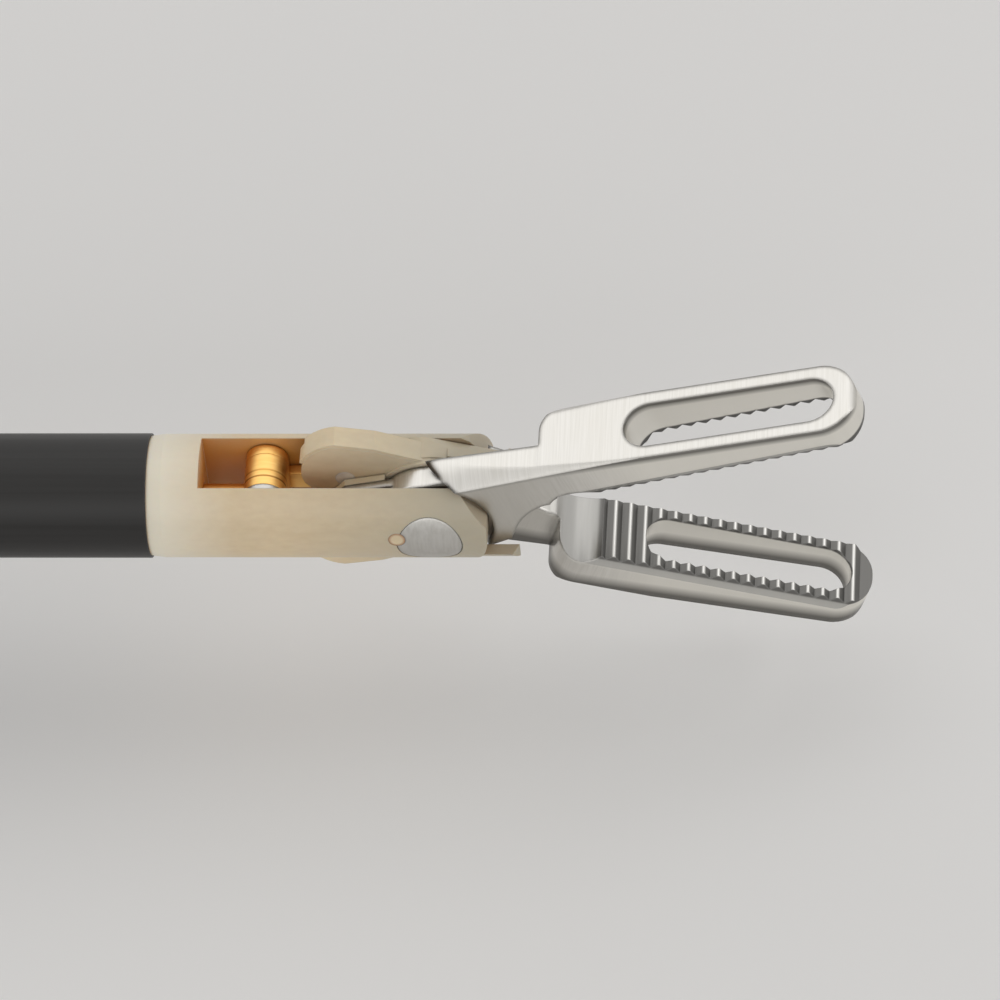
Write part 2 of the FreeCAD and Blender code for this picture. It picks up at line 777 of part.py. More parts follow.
# Housing shells, screws and fixed handle
def shell_outline():
    return [(shell_front, 7.0), (-31.0, shell_top), (-68.0, shell_top), (shell_rear, 5.0),
            (shell_rear, -6.0), (-67.0, shell_bottom), (-30.0, shell_bottom), (shell_front, -7.0)]


def shell(side):
    """One half of the housing; side is 1 above the split plane and -1 below it."""
    outer_wire = rounded_wire(shell_outline(), shell_corner, 0)
    outer = Part.Face(outer_wire).extrude(V(0, 0, side * shell_half_depth))
    face_edges = []
    for edge in outer.Edges:
        if abs(edge.BoundBox.ZMin - side * shell_half_depth) < 1e-3 and edge.BoundBox.ZLength < 1e-3:
            face_edges.append(edge)
    outer = outer.makeFillet(shell_edge, face_edges)
    inner_wire = outer_wire.makeOffset2D(-shell_wall)
    cavity = Part.Face(inner_wire).extrude(V(0, 0, side * (shell_half_depth - shell_wall)))
    body = outer.cut(cavity)
    low = min(0, side * (shell_half_depth - shell_wall + 0.5))
    high = max(0, side * (shell_half_depth - shell_wall + 0.5))
    ribs = box(front_rib_rear, shell_front - 1, shell_bottom + 1, shell_top - 1, low, high)
    ribs = ribs.fuse(box(rear_rib_rear, rear_rib_front, rib_bottom, shell_top - 1, low, high))
    for x, y in screw_places:
        ribs = ribs.fuse(rod_z(boss_radius, low, high, x, y))
    ledge = box(latch_groove_x - button_half_length - 1, latch_groove_x + button_half_length + 1,
                ledge_bottom, ledge_top, low, high)
    pivot_boss = rod_z(pivot_screw_radius + 2.2, low, high, ball_x, lever_pivot_y)
    ribs = ribs.fuse(ledge).fuse(pivot_boss)
    body = body.fuse(ribs.common(outer))
    return cut_shell(body, side)


def cut_shell(body, side):
    """Holes of a shell for everything that passes through or sits in it."""
    far = shell_half_depth + 1
    body = body.cut(rod_x(bearing_outer, front_rib_rear - 1, shell_front + 1))
    body = body.cut(rod_x(bearing_outer, rear_rib_rear - 1, rear_rib_front + 1))
    body = body.cut(stem_block(0.05))
    body = body.cut(box(ball_x - lever_slot_behind, ball_x + lever_slot_ahead, shell_bottom - 1,
                        shell_bottom + shell_wall + 1, -lever_slot_half_depth, lever_slot_half_depth))
    body = body.cut(box(ball_x - lever_room_behind, ball_x + lever_room_ahead, shell_bottom + 1,
                        lever_room_above, -lever_half_depth - lever_side_gap,
                        lever_half_depth + lever_side_gap))
    body = body.cut(box(connector_rear - 1, connector_front + 0.05, connector_bottom - 0.05,
                        connector_top + 0.05, -connector_half_depth - 0.05, connector_half_depth + 0.05))
    body = body.cut(box(latch_groove_x - button_half_length - button_gap,
                        latch_groove_x + button_half_length + button_gap, ledge_top, shell_top + 1,
                        -button_half_depth - button_gap, button_half_depth + button_gap))
    body = body.cut(rod_y(button_stem_radius + 0.15, ledge_bottom - 1, ledge_top + 1, latch_groove_x))
    body = body.cut(box(latch_groove_x - 1.2, latch_groove_x + 1.2, latch_bottom - 2.4, ledge_bottom,
                        -latch_half_width - 0.3, latch_half_width + 0.3))
    for x, y in screw_places + [(ball_x, lever_pivot_y)]:
        radius = screw_hole if (x, y) in screw_places else pivot_screw_radius + seat_gap
        body = body.cut(rod_z(radius, -shell_half_depth + shell_wall / 2, far, x, y))
        body = body.cut(rod_z(screw_head_radius + 0.1, shell_half_depth - screw_head_height, far, x, y))
    return body.removeSplitter()


def housing_screws():
    solids = []
    top = shell_half_depth - screw_head_height
    for x, y in screw_places:
        shank = rod_z(screw_radius, -shell_half_depth + shell_wall / 2, top, x, y)
        solids.append(shank.fuse(screw_head(x, y)).removeSplitter())
    return Part.makeCompound(solids)


def screw_head(x, y):
    """Flat head with a cross recess, just below the shell's face."""
    top = shell_half_depth - screw_sink
    head = rod_z(screw_head_radius, shell_half_depth - screw_head_height, top, x, y)
    arm = screw_head_radius * screw_cross_length
    slot = screw_cross_half
    low = top - screw_cross_depth
    cross = box(x - arm, x + arm, y - slot, y + slot, low, top + 1)
    cross = cross.fuse(box(x - slot, x + slot, y - arm, y + arm, low, top + 1))
    return head.cut(cross)


def stem_block(gap):
    return box(stem_rear - gap, stem_front + gap, shell_bottom - 1, stem_top + gap,
               -stem_half_depth - gap, stem_half_depth + gap)


def ellipse_wire(x, y, half_width, half_depth, tilt):
    """Elliptical section across an arm whose direction is turned by tilt from -Y."""
    wire = Part.Wire(Part.Ellipse(V(0, 0, 0), half_width, half_depth).toShape())
    wire.rotate(V(0, 0, 0), V(1, 0, 0), 90)
    wire.rotate(V(0, 0, 0), V(0, 0, 1), tilt)
    wire.translate(V(x, y, 0))
    return wire


def racetrack_ring(x, y, bend, straight, section):
    """Finger ring of round section: two half tori joined by two straight bars."""
    ring = None
    for side in (1, -1):
        half = Part.makeTorus(bend, section, V(x, y + side * straight, 0), V(0, 0, 1), -180, 180, 180)
        if side < 0:
            half.rotate(V(x, y - straight, 0), V(0, 0, 1), 180)
        ring = half if ring is None else ring.fuse(half)
    if straight > 0:
        for side in (1, -1):
            ring = ring.fuse(rod_y(section, y - straight, y + straight, x + side * bend))
    return ring.removeSplitter()


def fixed_handle():
    ring = racetrack_ring(ring_x, ring_y, ring_bend, ring_straight, ring_section)
    ring_top = ring_y + ring_straight + ring_bend
    start = shell_bottom + 0.5
    middle = (start + ring_top) / 2
    sections = [ellipse_wire(ring_x, start, stem_root_width, stem_root_depth, 0),
                ellipse_wire(ring_x + stem_waist_shift, middle, stem_waist_width, stem_waist_depth, 0),
                ellipse_wire(ring_x, ring_top, stem_end_width, ring_section * ring_blend, 0)]
    stem = Part.makeLoft(sections, True)
    block = stem_block(0)
    handle = block.fuse(stem).fuse(ring)
    for x, y in screw_places:
        if y < stem_top:
            handle = handle.cut(rod_z(boss_radius + 0.05, -shell_half_depth, shell_half_depth, x, y))
    return handle.removeSplitter()


# Thumb lever, its pivot and the rod's ball
def thumb_lever():
    head = box(ball_x - lever_head_half, ball_x + lever_head_half, lever_pivot_y, lever_head_top,
               -lever_half_depth, lever_half_depth)
    hub = rod_z(lever_hub_radius, -lever_half_depth, lever_half_depth, ball_x, lever_pivot_y)
    tilt = math.degrees(math.atan2(ball_x - thumb_x, lever_pivot_y - thumb_y))
    toward = V(ball_x - thumb_x, lever_pivot_y - thumb_y, 0).normalize()
    ring_edge = V(thumb_x, thumb_y, 0) + toward * thumb_bend
    sections = [ellipse_wire(ball_x + arm_root[0], lever_pivot_y + arm_root[1], arm_root_width, arm_depth,
                             arm_root_tilt),
                ellipse_wire(ball_x + arm_second[0], lever_pivot_y + arm_second[1], arm_width, arm_depth,
                             -tilt * 0.7),
                ellipse_wire(ball_x + arm_third[0], lever_pivot_y + arm_third[1], arm_width, arm_depth, -tilt),
                ellipse_wire(ring_edge.x, ring_edge.y, arm_end_width, thumb_section * ring_blend, -tilt)]
    arm = Part.makeLoft(sections, True)
    ring = racetrack_ring(thumb_x, thumb_y, thumb_bend, 0, thumb_section)
    lever = head.fuse(hub).fuse(arm).fuse(ring)
    pocket = ball_radius + ball_gap
    lever = lever.cut(box(ball_x - pocket, ball_x + pocket, -pocket, lever_head_top + 1, -pocket, pocket))
    lever = lever.cut(box(ball_x, ball_x + lever_head_half + 1, -pocket, lever_head_top + 1,
                          -rod_cover_radius - 0.15, rod_cover_radius + 0.15))
    lever = lever.cut(rod_z(bush_outer + run_gap, -lever_half_depth - 1, lever_half_depth + 1, ball_x,
                            lever_pivot_y))
    return lever.removeSplitter()


def lever_bush():
    outer = rod_z(bush_outer, -lever_half_depth - 0.25, lever_half_depth + 0.25, ball_x, lever_pivot_y)
    return outer.cut(rod_z(pivot_screw_radius + seat_gap, -lever_half_depth - 1, lever_half_depth + 1,
                           ball_x, lever_pivot_y))


def lever_pivot_screw():
    top = shell_half_depth - screw_head_height
    shank = rod_z(pivot_screw_radius, -shell_half_depth + shell_wall / 2, top, ball_x, lever_pivot_y)
    return shank.fuse(screw_head(ball_x, lever_pivot_y)).removeSplitter()


def rod_ball():
    ball = Part.makeSphere(ball_radius, V(ball_x, 0, 0))
    return ball.cut(rod_x(rod_radius, ball_x, ball_x + ball_radius + 1))


# Release button, latch frame and spring
def release_button():
    cap = box(latch_groove_x - button_half_length, latch_groove_x + button_half_length, button_bottom,
              button_top, -button_half_depth, button_half_depth)
    top_edges = [edge for edge in cap.Edges if edge.BoundBox.YMin > button_top - 1e-3]
    side_edges = [edge for edge in cap.Edges if edge.BoundBox.YLength > 1]
    cap = cap.makeFillet(0.9, top_edges + side_edges)
    stem = rod_y(button_stem_radius, latch_top, button_bottom, latch_groove_x)
    return cap.fuse(stem).removeSplitter()


def latch_frame():
    """Frame round the hub whose lower bar hooks into the hub's groove."""
    x0 = latch_groove_x - latch_half_thickness
    x1 = latch_groove_x + latch_half_thickness
    frame = box(x0, x1, latch_bottom, latch_top, -latch_half_width, latch_half_width)
    frame = frame.cut(box(x0 - 1, x1 + 1, 0, latch_window_top, -latch_window_half, latch_window_half))
    return frame.cut(rod_x(latch_hook_radius, x0 - 1, x1 + 1)).removeSplitter()


def release_spring():
    height = button_bottom - ledge_top - 2 * spring_wire - 0.1
    helix = Part.makeHelix(height / spring_turns, height, spring_radius)
    start = V(spring_radius, 0, 0)
    section = Part.Wire(Part.makeCircle(spring_wire, start, V(0, 1, 0)))
    spring = Part.Wire(helix).makePipeShell([section], True, True)
    spring.rotate(V(0, 0, 0), V(1, 0, 0), -90)
    spring.translate(V(latch_groove_x, ledge_top + spring_wire + 0.05, 0))
    return spring


# Electrical connector at the rear
def connector_block():
    block = box(connector_rear, connector_front, connector_bottom, connector_top, -connector_half_depth,
                connector_half_depth)
    edges = [edge for edge in block.Edges if edge.BoundBox.XMax < connector_rear + 1e-3]
    block = block.makeFillet(0.8, edges)
    for side in (1, -1):
        block = block.cut(rod_x(contact_shank_radius, connector_rear - 1, connector_front + 1, contact_y,
                                side * contact_half_spacing))
    return block


def contact_pins():
    """Two round contacts with a thinner shank inside the block and a rounded end."""
    solids = []
    for side in (1, -1):
        z = side * contact_half_spacing
        end = connector_rear - contact_length
        pin = rod_x(contact_radius, end, connector_rear - contact_step, contact_y, z)
        tip = [edge for edge in pin.Edges if edge.BoundBox.XMax < end + 1e-3]
        pin = pin.makeFillet(contact_round, tip)
        shank = rod_x(contact_shank_radius, connector_rear - contact_step, connector_front, contact_y, z)
        solids.append(pin.fuse(shank))
    return Part.makeCompound(solids)


def contact_strips():
    """Two spring strips: one brushes the push rod, the other the end of the hub."""
    low = contact_y - strip_thickness / 2
    high = contact_y + strip_thickness / 2
    inner = contact_half_spacing - strip_half_width
    outer = contact_half_spacing + strip_half_width
    rod_strip = box(connector_front, brush_x + strip_thickness, low, high, inner, outer)
    brush = box(brush_x, brush_x + strip_thickness, rod_radius + 0.15, high, -strip_half_width, outer)
    hub_end = hub_tube_rear - hub_brush_gap
    hub_strip = box(connector_front, hub_end, low, high, -outer, -inner)
    tab = box(hub_end - strip_thickness, hub_end, rod_radius + 0.9, high, -outer, -inner)
    return Part.makeCompound([rod_strip.fuse(brush).removeSplitter(), hub_strip.fuse(tab).removeSplitter()])


def all_nodes():
    nodes = jaw_nodes()
    link = drive_link()
    tube_front = pivot_x + clevis_rear
    nodes.update({
        "clevis": clevis(),
        "pivot_pin": pivot_pin(),
        "pivot_dowel": pivot_dowel(),
        "crosshead": crosshead(),
        "near_drive_link": link,
        "far_drive_link": turned_over(link),
        "cam_pins": cam_pins(),
        "crosshead_rivets": crosshead_rivets(),
        "push_rod": push_rod(),
        "rod_insulation": tube_x(rod_radius, rod_cover_radius, rod_cover_rear(), pivot_x + rod_cover_front),
        "rod_ball": rod_ball(),
        "rod_guides": rod_guides(),
        "sheath_tube": tube_x(tube_inner, tube_outer, tube_stop_x, tube_front),
        "sheath_insulation": tube_x(tube_outer, shaft_radius, seat_gap, tube_front),
        "sheath_hub": sheath_hub(),
        "rod_seal": tube_x(rod_cover_radius + run_gap, seal_radius, tube_stop_x - seal_length, tube_stop_x),
        "rotation_wheel": rotation_wheel(),
        "retaining_clip": retaining_clip(),
        "front_bearing": bearing(front_rib_rear, shell_front - 0.1),
        "rear_bearing": bearing(rear_rib_rear, rear_rib_front),
        "right_shell": shell(1),
        "left_shell": shell(-1),
        "housing_screws": housing_screws(),
        "fixed_handle": fixed_handle(),
        "thumb_lever": thumb_lever(),
        "lever_bush": lever_bush(),
        "lever_pivot_screw": lever_pivot_screw(),
        "release_button": release_button(),
        "latch_frame": latch_frame(),
        "release_spring": release_spring(),
        "connector_block": connector_block(),
        "contact_pins": contact_pins(),
        "contact_strips": contact_strips(),
    })
    return nodes


os.makedirs("parts", exist_ok=True)
for name, shape in all_nodes().items():
    shape.exportStep("parts/" + name + ".step")
    size = shape.BoundBox
    print(name, "solids", len(shape.Solids), "valid", shape.isValid(), "volume", round(shape.Volume, 3),
          "x", round(size.XMin, 2), round(size.XMax, 2), "y", round(size.YMin, 2), round(size.YMax, 2),
          "z", round(size.ZMin, 2), round(size.ZMax, 2))
print("jaw turn per lever turn", round(ball_arm / cam_rate, 4))
print("lever closes by", round(math.degrees(cam_rate * math.radians(jaw_rest_angle) / ball_arm), 3),
      "opens by", round(math.degrees(cam_rate * math.radians(jaw_open_angle - jaw_rest_angle) / ball_arm), 3))
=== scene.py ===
# %% [markdown]
# # A laparoscopic grasper, dressed in Blender
# The instrument is long and thin: a ring handle, a 5 mm insulated shaft and a pair of steel jaws
# at its end. The construction comes from the imported model. This script gives each piece of it a
# finish, adds the soft pads inside the finger rings, and puts a merged copy of the release
# button's rigid spring in its place, riding with the button.

# %% Load the imported model
import bmesh
import bpy
import json
import math
from mathutils import Matrix, Vector


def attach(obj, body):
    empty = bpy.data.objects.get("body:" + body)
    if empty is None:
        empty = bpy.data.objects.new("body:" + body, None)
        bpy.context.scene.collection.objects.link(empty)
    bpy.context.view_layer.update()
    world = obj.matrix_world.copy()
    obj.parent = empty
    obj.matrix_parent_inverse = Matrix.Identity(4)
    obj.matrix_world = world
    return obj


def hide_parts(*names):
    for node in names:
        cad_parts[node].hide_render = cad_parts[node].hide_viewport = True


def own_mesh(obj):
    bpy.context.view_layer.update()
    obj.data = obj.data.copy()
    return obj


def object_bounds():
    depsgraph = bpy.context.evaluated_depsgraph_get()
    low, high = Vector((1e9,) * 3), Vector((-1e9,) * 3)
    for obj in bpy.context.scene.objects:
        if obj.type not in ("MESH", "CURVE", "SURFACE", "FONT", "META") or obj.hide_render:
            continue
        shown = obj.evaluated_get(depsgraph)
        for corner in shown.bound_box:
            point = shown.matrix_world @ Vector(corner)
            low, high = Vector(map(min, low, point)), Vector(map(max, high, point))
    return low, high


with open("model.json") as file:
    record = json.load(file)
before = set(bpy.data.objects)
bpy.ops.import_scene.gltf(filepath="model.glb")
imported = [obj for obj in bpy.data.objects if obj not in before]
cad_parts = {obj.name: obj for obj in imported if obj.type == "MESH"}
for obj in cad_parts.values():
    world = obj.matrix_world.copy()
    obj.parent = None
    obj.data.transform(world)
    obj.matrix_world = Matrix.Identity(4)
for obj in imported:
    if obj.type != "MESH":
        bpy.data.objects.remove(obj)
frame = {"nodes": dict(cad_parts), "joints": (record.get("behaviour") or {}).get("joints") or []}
nodes = frame["nodes"]
cad_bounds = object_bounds()
MM = 0.001
joint_list = {joint["name"]: joint for joint in frame["joints"]}
pivot = Vector(joint_list["jaw_upper"]["pos_m"])
print("nodes", len(nodes), "jaw pivot", tuple(round(c, 5) for c in pivot))

# %% [markdown]
# ## The camera
# A long lens far away gives the flat perspective of a product photograph. The shaft runs level
# across the picture while the camera looks down at it, so the camera is turned a little towards
# the jaws and rolled back until the shaft is level again. Writing the camera's own right, up and
# back directions is simpler than a chain of turns, and it can be checked by hand.

# %% Camera
elevation = math.radians(53.0)
turn = math.radians(4.6)
right = Vector((math.cos(turn), math.sin(turn) * math.cos(elevation),
                -math.sin(turn) * math.sin(elevation)))
up = Vector((0.0, math.sin(elevation), math.cos(elevation)))
back = Vector((math.sin(turn), -math.cos(turn) * math.cos(elevation),
               math.cos(turn) * math.sin(elevation)))
picture_width = 40.0 * MM
camera_distance = 333.0 * MM
sensor_width = 36.0
centre_from_pivot = (2.68 * MM, -0.18 * MM)

camera_data = bpy.data.cameras.new("camera")
camera_data.sensor_width = sensor_width
camera_data.lens = sensor_width * camera_distance / picture_width
camera_data.clip_start = 0.01
camera_data.clip_end = 50.0
camera = bpy.data.objects.new("camera", camera_data)
bpy.context.scene.collection.objects.link(camera)
aim = pivot + right * centre_from_pivot[0] + up * centre_from_pivot[1]
camera_turn = Matrix((right, up, back)).transposed().to_4x4()
camera.matrix_world = Matrix.Translation(aim + back * camera_distance) @ camera_turn
bpy.context.scene.camera = camera
print("lens", round(camera_data.lens, 1), "mm")

# %% [markdown]
# ## Floor, world and lamps
# Steel looks like what it reflects, so the lamps are large soft panels, and reflections see the
# same pale surroundings as the camera does. Rough surfaces get a dimmer world, which leaves the
# shading to the lamps. The floor is pale paper that takes the instrument's soft shadow. It lies
# a hair below the lowest point, so the two surfaces never share a plane.

# %% Floor, world and lamps
scene = bpy.context.scene
scene.view_settings.view_transform = "Standard"
pale = (0.88, 0.872, 0.86)
dim = (0.43, 0.425, 0.42)
floor_half_size = 4.0
floor_gap = 0.05 * MM
middle_x = 0.1                  # under the middle of the instrument

# name, place, the point it faces, width and height in metres, power in watts
lamps = (
    ("key", (0.05, 0.65, 1.15), (0.2, 0.0, 0.0), (2.2, 1.2), 4.5),
    ("fill", (0.3, -1.3, 0.7), (0.2, 0.0, 0.0), (1.6, 0.8), 4.0),
    ("side", (1.3, 0.1, 0.55), (0.3, 0.0, 0.0), (0.7, 0.7), 2.6),
)


def new_material(name):
    """An empty material with its node tree and its Principled shader."""
    material = bpy.data.materials.new(name)
    material.use_nodes = True
    tree = material.node_tree
    return material, tree, tree.nodes["Principled BSDF"]


def stage_floor():
    mesh = bpy.data.meshes.new("floor")
    shape = bmesh.new()
    bmesh.ops.create_grid(shape, x_segments=1, y_segments=1, size=floor_half_size)
    bmesh.ops.translate(shape, verts=shape.verts, vec=(middle_x, 0.0, cad_bounds[0][2] - floor_gap))
    shape.to_mesh(mesh)
    shape.free()
    floor = bpy.data.objects.new("floor", mesh)
    scene.collection.objects.link(floor)
    material, _, shader = new_material("floor_paper")
    shader.inputs["Base Color"].default_value = (*pale, 1.0)
    shader.inputs["Roughness"].default_value = 0.9
    shader.inputs["Specular IOR Level"].default_value = 0.1
    mesh.materials.append(material)


def stage_world():
    """Pale to the camera and in reflections, dim as the light on rough surfaces."""
    world = bpy.data.worlds.new("studio")
    scene.world = world
    world.use_nodes = True
    tree = world.node_tree
    paths = tree.nodes.new("ShaderNodeLightPath")
    mix = tree.nodes.new("ShaderNodeMix")
    mix.data_type = "RGBA"
    mix.inputs["A"].default_value = (*dim, 1.0)
    mix.inputs["B"].default_value = (*pale, 1.0)
    factor = paths.outputs["Is Camera Ray"]
    for ray in ("Is Glossy Ray", "Is Transmission Ray"):
        either = tree.nodes.new("ShaderNodeMath")
        either.operation = "MAXIMUM"
        tree.links.new(factor, either.inputs[0])
        tree.links.new(paths.outputs[ray], either.inputs[1])
        factor = either.outputs[0]
    tree.links.new(factor, mix.inputs["Factor"])
    tree.links.new(mix.outputs["Result"], tree.nodes["Background"].inputs["Color"])


def soft_lamp(name, place, target, size, power):
    lamp_data = bpy.data.lights.new(name, "AREA")
    lamp_data.shape = "RECTANGLE"
    lamp_data.size = size[0]
    lamp_data.size_y = size[1]
    lamp_data.energy = power
    lamp = bpy.data.objects.new(name, lamp_data)
    scene.collection.objects.link(lamp)
    direction = Vector(target) - Vector(place)
    facing = direction.to_track_quat("-Z", "Y").to_matrix().to_4x4()
    lamp.matrix_world = Matrix.Translation(place) @ facing


stage_floor()
stage_world()
for lamp in lamps:
    soft_lamp(*lamp)
print("lamps", [lamp[0] for lamp in lamps])

# %% [markdown]
# ## Short words for shader nodes
# A shader is built from many small steps. These functions each add one step to a node tree and
# hand back its output, so that a finish can be read as a few sentences.


# %% Node helpers
def calculate(tree, operation, first, second=None):
    """One step of arithmetic, on outputs of other nodes or on plain numbers."""
    step = tree.nodes.new("ShaderNodeMath")
    step.operation = operation
    for socket, value in zip(step.inputs, (first, second)):
        if isinstance(value, float):
            socket.default_value = value
        elif value is not None:
            tree.links.new(value, socket)
    return step.outputs[0]


def product(tree, first, second):
    return calculate(tree, "MULTIPLY", first, second)


def ramp(tree, value, start, end, low=0.0, high=1.0):
    """Goes from low to high while the value goes from start to end, and stays level outside."""
    spread = tree.nodes.new("ShaderNodeMapRange")
    spread.inputs["From Min"].default_value = start
    spread.inputs["From Max"].default_value = end
    spread.inputs["To Min"].default_value = low
    spread.inputs["To Max"].default_value = high
    tree.links.new(value, spread.inputs["Value"])
    return spread.outputs["Result"]


def blend_colour(tree, factor, first, second):
    """Mix of two colours, each an output or a plain colour."""
    mix = tree.nodes.new("ShaderNodeMix")
    mix.data_type = "RGBA"
    tree.links.new(factor, mix.inputs["Factor"])
    for label, colour in (("A", first), ("B", second)):
        if isinstance(colour, tuple):
            mix.inputs[label].default_value = (*colour, 1.0)
        else:
            tree.links.new(colour, mix.inputs[label])
    return mix.outputs["Result"]


def turned(tree, vector, angles):
    rotate = tree.nodes.new("ShaderNodeVectorRotate")
    rotate.rotation_type = "EULER_XYZ"
    tree.links.new(vector, rotate.inputs["Vector"])
    tree.links.new(angles, rotate.inputs["Rotation"])
    return rotate.outputs["Vector"]


def parts_of(tree, vector):
    """The X, Y and Z of a vector."""
    parts = tree.nodes.new("ShaderNodeSeparateXYZ")
    tree.links.new(vector, parts.inputs["Vector"])
    return parts.outputs


def own_place(tree, coordinate="Object"):
    """A point's place, or its normal, in the coordinates of its own object."""
    return tree.nodes.new("ShaderNodeTexCoord").outputs[coordinate]


# %% [markdown]
# ## Effects shared by several finishes
# Each effect is a small node group with its own sockets, placed in the materials with their own
# values. Grain is noise stretched along one direction. The edge group compares a rounded normal
# with the true one, which picks out corners, where finishes paint their edge colour, and also lets
# them catch the light as if rounded. Hollow shade finds what lies deep in a slot, where finishes
# paint shade. The jaw frame gives each point's place as seen from a jaw: how far it is from the
# pivot, how far from the plane where the two jaws meet, and whether its surface looks at that
# plane.


# %% Node groups
def new_group(name, inputs, outputs):
    group = bpy.data.node_groups.new(name, "ShaderNodeTree")
    for label, kind, value in inputs:
        socket = group.interface.new_socket(label, in_out="INPUT", socket_type=kind)
        socket.default_value = value
    for label, kind in outputs:
        group.interface.new_socket(label, in_out="OUTPUT", socket_type=kind)
    given = group.nodes.new("NodeGroupInput").outputs
    out = group.nodes.new("NodeGroupOutput").inputs
    return group, given, out


def grain_group():
    """Fine noise on object coordinates, stretched and turned: a value from 0 to 1."""
    group, given, out = new_group("grain",
                                  [("Stretch", "NodeSocketVector", (1000.0, 1000.0, 1000.0)),
                                   ("Turn", "NodeSocketVector", (0.0, 0.0, 0.0)),
                                   ("Detail", "NodeSocketFloat", 2.0)],
                                  [("Value", "NodeSocketFloat")])
    links = group.links
    scale = group.nodes.new("ShaderNodeVectorMath")
    scale.operation = "MULTIPLY"
    noise = group.nodes.new("ShaderNodeTexNoise")
    noise.inputs["Scale"].default_value = 1.0
    links.new(turned(group, own_place(group), given["Turn"]), scale.inputs[0])
    links.new(given["Stretch"], scale.inputs[1])
    links.new(scale.outputs["Vector"], noise.inputs["Vector"])
    links.new(given["Detail"], noise.inputs["Detail"])
    links.new(noise.outputs["Fac"], out["Value"])
    return group


def edge_group():
    """Mask of convex and concave edges within a radius, and the rounded normal."""
    group, given, out = new_group("edge_light",
                                  [("Radius", "NodeSocketFloat", 0.00005),
                                   ("Gain", "NodeSocketFloat", 6.0)],
                                  [("Mask", "NodeSocketFloat"), ("Normal", "NodeSocketVector")])
    links = group.links
    rounded = group.nodes.new("ShaderNodeBevel")
    rounded.samples = 6
    truth = group.nodes.new("ShaderNodeNewGeometry")
    likeness = group.nodes.new("ShaderNodeVectorMath")
    likeness.operation = "DOT_PRODUCT"
    links.new(given["Radius"], rounded.inputs["Radius"])
    links.new(rounded.outputs["Normal"], likeness.inputs[0])
    links.new(truth.outputs["Normal"], likeness.inputs[1])
    difference = calculate(group, "SUBTRACT", 1.0, likeness.outputs["Value"])
    mask = product(group, difference, given["Gain"])
    mask.node.use_clamp = True
    links.new(mask, out["Mask"])
    links.new(rounded.outputs["Normal"], out["Normal"])
    return group


def hollow_group():
    """1 in the open, falling to 0 deep in a hollow: the mask for painted shade."""
    group, given, out = new_group("hollow_shade", [("Reach", "NodeSocketFloat", 0.002)],
                                  [("Open", "NodeSocketFloat")])
    hidden = group.nodes.new("ShaderNodeAmbientOcclusion")
    hidden.samples = 8
    group.links.new(given["Reach"], hidden.inputs["Distance"])
    group.links.new(ramp(group, hidden.outputs["AO"], 0.25, 0.85), out["Open"])
    return group


def jaw_frame_group():
    """Place in a jaw's own turned frame: along it from the pivot, and off the closing plane."""
    group, given, out = new_group("jaw_frame",
                                  [("Turn", "NodeSocketVector", (0.0, 0.0, 0.0)),
                                   ("Side", "NodeSocketFloat", 1.0)],
                                  [("Along", "NodeSocketFloat"), ("Height", "NodeSocketFloat"),
                                   ("Facing", "NodeSocketFloat")])
    links = group.links
    centred = group.nodes.new("ShaderNodeVectorMath")
    centred.operation = "SUBTRACT"
    centred.inputs[1].default_value = pivot
    links.new(own_place(group), centred.inputs[0])
    place = parts_of(group, turned(group, centred.outputs["Vector"], given["Turn"]))
    normal = parts_of(group, turned(group, own_place(group, "Normal"), given["Turn"]))
    links.new(place["X"], out["Along"])
    links.new(product(group, place["Z"], given["Side"]), out["Height"])
    links.new(product(group, normal["Z"], given["Side"]), out["Facing"])
    return group


GRAIN = grain_group()
EDGE = edge_group()
HOLLOW = hollow_group()
JAW_FRAME = jaw_frame_group()
print("groups", [group.name for group in (GRAIN, EDGE, HOLLOW, JAW_FRAME)])

# %% [markdown]
# ## Building a finish
# Every finish here has the same bones: a base colour that varies with grain, painted shade in
# hollows, a roughness that varies with the grain, edges with a colour of their own (painted shade
# or painted highlight on the metals and the ivory), and a bump. One function lays these out, and
# each finish is a call with its own values. What only one finish has, such as the teeth's painted
# light and shade, is a function that the call hands in as extra.

# %% The finish builder
grain_spread = (0.3, 0.7)       # noise seldom leaves this range, so it's spread to fill 0 to 1
cloud_detail = 3.0


def add_group(tree, group, **values):
    node = tree.nodes.new("ShaderNodeGroup")
    node.node_tree = group
    for label, value in values.items():
        node.inputs[label].default_value = value
    return node


